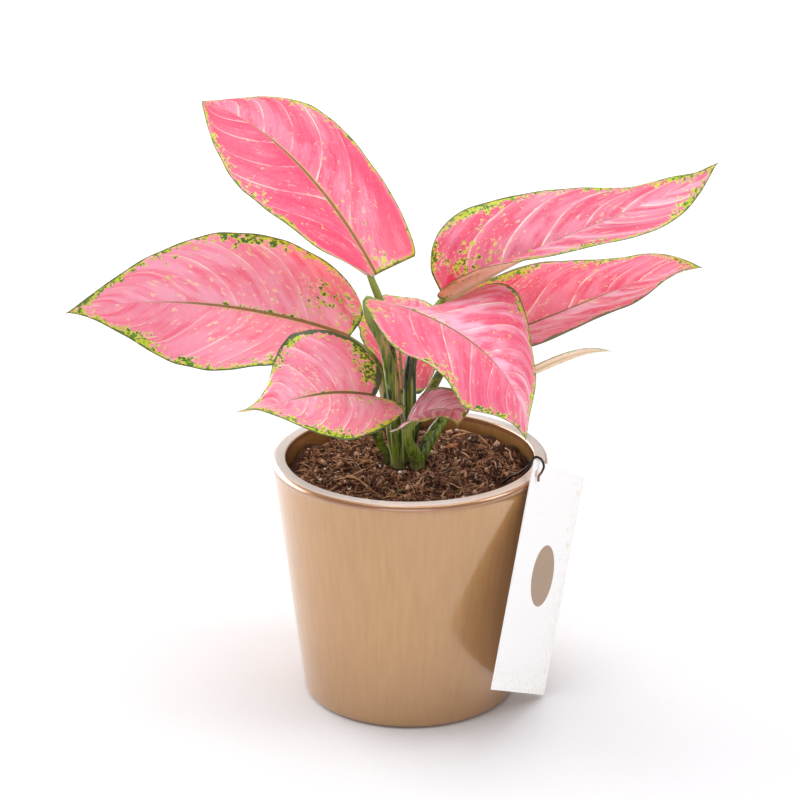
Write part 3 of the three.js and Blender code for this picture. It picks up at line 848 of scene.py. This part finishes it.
def pot_material():
    shader = Shader("pot_glaze")
    span, fade, product = shader.calls()
    place = shader.place()
    height = shader.parts(place)[2]
    streaks = shader.noise(place, 1, 4, 0.6, (380, 380, 9))
    cloud = shader.noise(place, 1, 3, 0.5, (26, 26, 12))
    specks = shader.noise(place, 900, 2)
    top = POT.height * MM
    lip = (height, top - 0.0006, top - 0.0001)
    band = product(span(height, top - 0.0031, top - 0.0027), fade(height, top - 0.0013, top - 0.0004))
    colour = shader.layers(
        "b7864a",
        ((streaks, 0.3, 0.7), "c08f53"),
        ((cloud, 0.4, 0.75, 0, 0.25), "b98c66"),
        ((specks, 0.68, 0.74, 0, 0.25), "8a6440"),
        # Darker towards the bottom
        ((height, 0, 0.06, 0.4, 0), "a0764f"),
        # The pale top of the lip is a painted reflection of the bright surroundings
        ((*lip, 0, 0.92), "fbf4f1"),
        (product(band, 0.75), "9a6244"),
    )
    shader.bump(streaks, 0.0001, 0.3)
    return shader.finish(
        Base_Color=colour, Metallic=span(*lip, 0.5, 0.1), Roughness=span(cloud, 0.3, 0.7, 0.32, 0.38),
        Coat_Weight=1, Coat_Roughness=0.12, Coat_IOR=1.85,
    )


# Soil: the ground itself, then crumbs, fibres, white grains and a few larger bits lying in it

def inner_radius(z):
    share = (z - POT.floor) / (POT.height - POT.lip_round - POT.floor)
    return POT.inner_floor_radius + (POT.inner_rim_radius - POT.inner_floor_radius) * share


def soil_top(x, y):
    radius = np.hypot(x, y)
    lump = np.sin(2 * np.pi * x / 38 + 1.3) * np.cos(2 * np.pi * y / 46 - 0.6)
    furrow = np.sin(2 * np.pi * (x + y) / 30 + 2.1) * np.sin(2 * np.pi * (x - 2 * y) / 57)
    mound = 1.6 * np.exp(-(radius / 22) ** 2)
    dip = SOIL.wall_dip * (radius / inner_radius(SOIL.level)) ** 4
    return SOIL.level + 1.1 * lump + 0.8 * furrow + mound - dip


def soil_height(x, y):
    """The part's own soil top with clods on it, and the hollow in front of the hook."""
    clods = noise.fractal(Vector((x, y, 5.0)) * 0.13, 0.7, 2.2, 3)
    hx, hy = SOIL.hollow
    hollow = SOIL.hollow_depth * math.exp(-((x - hx) ** 2 + (y - hy) ** 2) / 70)
    return float(soil_top(x, y)) + SOIL.clods * clods - hollow


def build_ground(material):
    rings, sides, bottom = SOIL.rings, SOIL.sides, SOIL.bottom
    rim = inner_radius(SOIL.level) - SOIL.wall_gap
    angles = ring_angles(sides)
    vertices = []
    for ring in range(rings):
        radius = rim * (ring + 0.5) / (rings - 0.5)
        for angle in angles:
            x, y = radius * math.cos(angle), radius * math.sin(angle)
            rough = noise.fractal(Vector((x, y, 3.0)) * 0.35, 0.6, 2.1, 4) * 0.9
            vertices.append((x, y, soil_height(x, y) + rough - 0.4))
    vertices.extend([(rim * math.cos(a), rim * math.sin(a), bottom) for a in angles])
    vertices.extend([(0.0, 0.0, float(soil_top(0, 0)) - 0.3), (0.0, 0.0, bottom)])
    faces = ring_faces(rings + 1, sides, flip=True)
    make_piece("soil_ground", vertices, faces, [material], ["potting_soil"])


def icosahedron():
    golden = (1 + math.sqrt(5)) / 2
    corners = []
    for a in (-1, 1):
        for b in (-golden, golden):
            corners.extend([(0, a, b), (a, b, 0), (b, 0, a)])
    corners = unit(np.array(corners, float))
    faces = []
    for i, j, k in combinations(range(12), 3):
        spans = [np.linalg.norm(corners[p] - corners[q]) for p, q in ((i, j), (j, k), (i, k))]
        if max(spans) < 1.2:
            outward = np.cross(corners[j] - corners[i], corners[k] - corners[i])
            faces.append((i, j, k) if outward.dot(corners[i]) > 0 else (i, k, j))
    return corners, faces


def soil_spot(rng, room):
    """A place in the soil with that much room, clear of the stems, the hook's foot and the wall."""
    feet = [[*shoot["foot"], shoot["radius"]] for shoot in SHOOTS.values()] + [[*SOIL.wire_foot, 4]]
    while True:
        x, y = rng.uniform(-60, 60, 2)
        clear = all(math.hypot(x - foot_x, y - foot_y) >= radius + room for foot_x, foot_y, radius in feet)
        if clear and math.hypot(x, y) < SOIL.crumb_radius - room:
            return x, y


def scatter(name, material, count, sizes, squash, seed, sink):
    """Irregular crumbs lying in the soil, as one mesh."""
    rng = np.random.default_rng(seed)
    corners, triangles = icosahedron()
    heap = Heap()
    for _ in range(count):
        size = sizes[0] * (sizes[1] / sizes[0]) ** rng.uniform() ** 2
        x, y = soil_spot(rng, size)
        stretch = np.array([1.0, rng.uniform(*squash), rng.uniform(*squash)]) * size
        jitter = 1 + rng.uniform(-0.45, 0.45, (12, 1))
        turn, _ = np.linalg.qr(rng.normal(size=(3, 3)))
        shape = (corners * jitter * stretch) @ turn.T
        z = soil_height(x, y) + rng.uniform(-0.6, 0.7) * size - sink
        heap.add(shape + (x, y, z), triangles, tone=rng.uniform())
    heap.piece(name, [material], "soil")


def build_fibres(material):
    rng = np.random.default_rng(11)
    heap = Heap()
    share = np.linspace(-0.5, 0.5, 7)
    taper = np.array([0.35, 0.8, 1, 1, 0.9, 0.7, 0.3])
    for _ in range(SOIL.fibres):
        length = rng.uniform(3, 13)
        x, y = soil_spot(rng, length / 2)
        turn = rng.uniform(0, 2 * np.pi)
        heading = turn + rng.uniform(-0.9, 0.9) * share
        px = x + length * share * np.cos(heading)
        py = y + length * share * np.sin(heading)
        rise = 0.7 + rng.uniform(0, 1.2) * (0.25 - share ** 2) * 4 + rng.uniform(-0.5, 0.5) * share
        pz = np.array([soil_height(*spot) for spot in zip(px, py)]) + rise
        vertices, faces = tube(np.stack([px, py, pz], axis=1), taper * rng.uniform(0.12, 0.32), 5)
        heap.add(vertices, faces, tone=rng.uniform())
    heap.piece("soil_fibres", [material], "soil")


def soil_material(name, dark, light, use_tone):
    shader = Shader(name)
    place = shader.place()
    grain = shader.noise(place, 900, 4, 0.65)
    patches = shader.noise(place, 90, 3, 0.6)
    rows = [((grain, 0.35, 0.7), light), ((patches, 0.4, 0.65, 0, 0.6), "2a1810")]
    if use_tone:
        tone = shader.attribute("tone")
        rows += [((tone, 0.7, 1, 0, 0.85), "f2c8a8"), ((tone, 0.05, 0.55, 0.9, 0), "2c1910")]
    shader.bump(grain, 0.0008, 0.7)
    return shader.finish(Base_Color=shader.layers(dark, *rows), Roughness=0.85, Specular_IOR_Level=0.25)


def grain_material():
    shader = Shader("white_grain")
    grain = shader.noise(shader.place(), 1500, 3, 0.6)
    shader.bump(grain, 0.0004, 0.3)
    colour = shader.layers("f1eee8", ((grain, 0.35, 0.7), "ffffff"))
    return shader.finish(Base_Color=colour, Roughness=0.7)


def build_bits(materials):
    """The chips, bits of leaf, moss and white grains that show singly."""
    corners, triangles = icosahedron()
    rng = np.random.default_rng(21)
    heap = Heap()
    for x, y, length, width, thick, turn, sort in SOIL_BITS:
        shape = corners * (1 + rng.uniform(-0.25, 0.25, (12, 1))) * np.array([length, width, thick]) / 2
        c, s = math.cos(math.radians(turn)), math.sin(math.radians(turn))
        shape = shape @ np.array([[c, s, 0], [-s, c, 0], [0, 0, 1]])
        shape[:, 2] += shape[:, 0] * 0.15
        heap.add(shape + (x, y, soil_height(x, y) + 1.5 + thick / 4), triangles, sort)
    heap.piece("soil_bits", materials, "soil")


def build_twigs(material):
    heap = Heap()
    for tone, thick, points in SOIL_TWIGS:
        places = catmull([(x, y, soil_height(x, y) + rise) for x, y, rise in points], 18)
        share = np.linspace(0, 1, len(places))
        taper = np.interp(share, [0, 0.06, 0.94, 1], [0.4, 1, 1, 0.4])
        vertices, faces = tube(places, thick * (0.75 + 0.25 * np.sin(9 * share)) * taper, 9)
        heap.add(vertices, faces, tone=tone)
    heap.piece("soil_twigs", [material], "soil")


def build_soil():
    looks = {name: soil_material(f"soil_{name}", *values) for name, values in SOIL_LOOKS.items()}
    looks["grain"] = grain_material()
    build_ground(looks["ground"])
    for name, (look, *values) in SOIL_CRUMBS.items():
        scatter(name, looks[look], *values)
    build_fibres(looks["fibre"])
    build_twigs(looks["fibre"])
    build_bits([looks[name] for name in ("chip", "straw", "moss", "grain")])


# Tag card and hook

def card_axes():
    turn, tilt = math.radians(CARD.turn), math.radians(CARD.tilt)
    outward = np.array([math.cos(turn), math.sin(turn), 0.0])
    level = np.array([-math.sin(turn), math.cos(turn), 0.0])
    across = level * math.cos(tilt) - UP * math.sin(tilt)
    down = -level * math.sin(tilt) - UP * math.cos(tilt)
    origin = outward * (POT.rim_radius + CARD.clear) + level * CARD.side + UP * CARD.top
    return origin, across, down, outward


def card_material():
    shader = Shader("card")
    span, fade, product = shader.calls()
    minus = shader.minus
    origin, *axes = card_axes()
    place = shader.place()
    x, y, out = [minus(shader.dot(place, tuple(axis)), float(origin.dot(axis)) * MM) for axis in axes]
    flecks = shader.noise(shader.vector(x, y, 0), 1, 3, 0.6, (700, 260, 1))
    where = shader.most(span(x, 0.05, 0.077), span(y, 0.085, 0.113, 0, 0.8))
    gold = span(shader.plus(flecks, where, 0.12), 0.64, 0.72, 0, 0.55)
    paper = shader.noise(place, 1800, 2)
    cx, cy, radius = [value * MM for value in CARD.badge]
    dx, dy = minus(x, cx), minus(y, cy)
    apart = shader.math("SQRT", shader.plus(product(dx, dx), product(dy, dy)))
    disc = product(fade(apart, radius - 0.0003, radius + 0.0001), span(out, 0, 0.0001))
    tan = shader.mix(span(paper, 0.3, 0.7), "a98f79", "b59c87")
    colour = shader.layers("fcfbfa", ((paper, 0.3, 0.7), "fffefe"), (gold, "ecd9bd"), (disc, tan))
    shader.bump(paper, 0.00005, 0.3)
    return shader.finish(Base_Color=colour, Roughness=0.7, Specular_IOR_Level=0.3)


def wire_material():
    shader = Shader("wire")
    scuffs = shader.noise(shader.place(), 1500, 3, 0.6)
    # The last stretch of the wire is painted brown
    brown_end = (shader.attribute("up"), 0.86, 0.93)
    colour = shader.layers("1b1a1a", ((scuffs, 0.4, 0.75), "3a3735"), (brown_end, "7a4a30"))
    shader.bump(scuffs, 0.0002, 0.4)
    return shader.finish(Base_Color=colour, Roughness=0.35, Metallic=0.6)


def build_hook(material):
    places = catmull(HOOK_ROUTE, WIRE.rows)
    vertices, faces = tube(places, np.full(len(places), WIRE.radius), WIRE.sides)
    up = np.append(np.repeat(np.linspace(0, 1, len(places)), WIRE.sides), [0.0, 1.0])
    make_piece("hook_wire", vertices, faces, [material], ["tag_hook"], {"up": up})


# Stage: floor, soft light and the camera at the photograph's angle

def build_floor():
    shader = Shader("floor")
    grain = shader.noise(shader.place(), 900, 3)
    flat = shader.scaled(shader.place(), (1, 1, 0))
    away = shader.math("SQRT", shader.dot(flat, flat))
    # The floor glows, more so the farther it lies from the pot: a painted glow that makes the far floor a
    # white backdrop
    shader.surface.inputs["Emission Color"].default_value = (1, 1, 1, 1)
    material = shader.finish(
        Base_Color=shader.mix(shader.span(grain, 0.3, 0.7), "edecef", "f0eff2"), Roughness=0.9,
        Specular_IOR_Level=0.1, Emission_Strength=shader.span(away, 0.4, 1.6, 0, 0.6),
    )
    mesh = bpy.data.meshes.new("floor")
    corners = [(x * FLOOR.size, y * FLOOR.size, FLOOR.level) for x, y in ((-1, -1), (1, -1), (1, 1), (-1, 1))]
    mesh.from_pydata(corners, [], [(0, 1, 2, 3)])
    mesh.materials.append(material)
    add_object("floor", mesh)


def area_light(name, place, size, power):
    data = bpy.data.lights.new(name, "AREA")
    data.shape = "RECTANGLE"
    data.size, data.size_y = size
    data.energy = power
    add_object(name, data, place, LIGHT_AIM)


def build_light():
    world = bpy.data.worlds.new("studio")
    world.use_nodes = True
    background = world.node_tree.nodes["Background"]
    background.inputs["Color"].default_value = (1, 1, 1, 1)
    background.inputs["Strength"].default_value = WORLD_STRENGTH
    bpy.context.scene.world = world
    bpy.context.scene.view_settings.view_transform = "Standard"
    for name, values in LIGHTS.items():
        area_light(name, *values)


def build_camera():
    data = bpy.data.cameras.new("camera")
    data.lens = CAMERA.lens
    data.sensor_width = CAMERA.sensor
    data.clip_start = 0.05
    bpy.context.scene.camera = add_object("camera", data, CAMERA.place, CAMERA.aim)


def main():
    build_camera()
    build_light()
    build_floor()
    build_pot(pot_material())
    build_soil()
    stems = stem_material()
    for name, shoot in SHOOTS.items():
        build_shoot(name, shoot, stems)
    blades = [leaf_top_material(), leaf_under_material()]
    for name, leaf in LEAVES.items():
        build_leaf(name, {**PLAIN_LEAF, **leaf, "length": midrib_length(leaf)}, blades)
    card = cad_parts["tag_card"]
    card.data.materials.clear()
    card.data.materials.append(card_material())
    build_hook(wire_material())


main()
